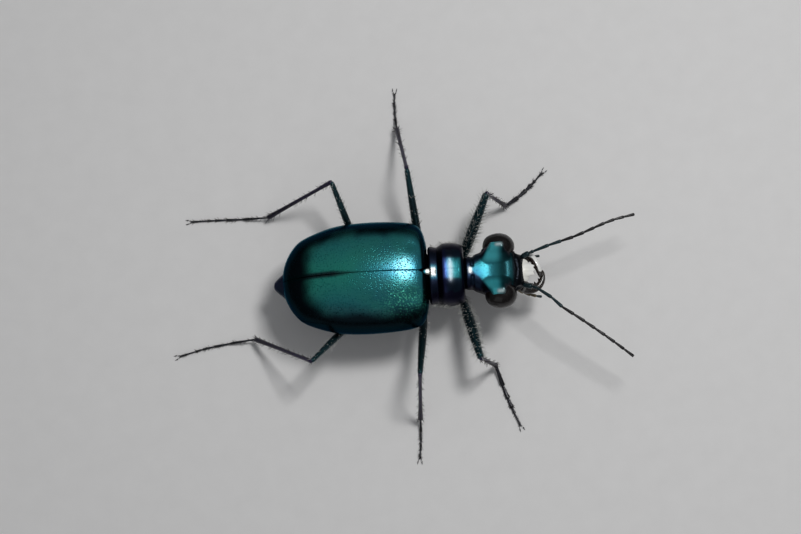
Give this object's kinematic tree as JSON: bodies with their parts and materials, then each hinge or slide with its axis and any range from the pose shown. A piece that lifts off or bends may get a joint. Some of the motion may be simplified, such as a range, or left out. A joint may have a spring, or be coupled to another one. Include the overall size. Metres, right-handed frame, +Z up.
{
  "type": "tiger beetle",
  "caption": "Life-size tiger beetle standing on spread legs, with domed metallic wing cases, bulging eyes, sickle jaws and long thread-like feelers, for display or a nature scene.",
  "frame": {"origin": "on the floor under the middle of the beetle's bounding box", "axes": "+X forwards along the body, towards the jaws; +Y to the beetle's left; +Z up"},
  "size_m": [0.0246, 0.0206, 0.005],
  "materials": {
    "elytra": "metallic blue-green cuticle with fine pits",
    "forebody": "metallic blue-green to cyan cuticle, finely wrinkled",
    "underside": "dark metallic blue cuticle",
    "legs": "dark metallic cuticle with pale bristles",
    "feet": "black satin cuticle",
    "feelers": "black, dull towards the tips",
    "eyes": "polished dark brown with fine facets",
    "lip": "smooth ivory",
    "jaws": "polished black with an ivory outer base"
  },
  "bodies": {
    "root": {"head": "forebody", "eye_left": "eyes", "eye_right": "eyes", "labrum": "lip", "mandible_left": "jaws", "mandible_right": "jaws", "maxillary_palp_left": "feelers", "maxillary_palp_right": "feelers", "labial_palp_left": "feelers", "labial_palp_right": "feelers", "antenna_base_left": "feelers", "antenna_middle_left": "feelers", "antenna_tip_left": "feelers", "antenna_base_right": "feelers", "antenna_middle_right": "feelers", "antenna_tip_right": "feelers", "prothorax": "forebody", "elytron_left": "elytra", "elytron_right": "elytra", "thorax": "underside", "abdomen": "underside", "coxa_front_left": "underside", "coxa_front_right": "underside", "coxa_middle_left": "underside", "coxa_middle_right": "underside", "coxa_hind_left": "underside", "coxa_hind_right": "underside", "femur_front_left": "legs", "femur_front_right": "legs", "femur_middle_left": "legs", "femur_middle_right": "legs", "femur_hind_left": "legs", "femur_hind_right": "legs", "tibia_front_left": "legs", "tibia_front_right": "legs", "tibia_middle_left": "legs", "tibia_middle_right": "legs", "tibia_hind_left": "legs", "tibia_hind_right": "legs", "tarsus_front_left": "feet", "tarsus_front_right": "feet", "tarsus_middle_left": "feet", "tarsus_middle_right": "feet", "tarsus_hind_left": "feet", "tarsus_hind_right": "feet"}
  },
  "joints": []
}
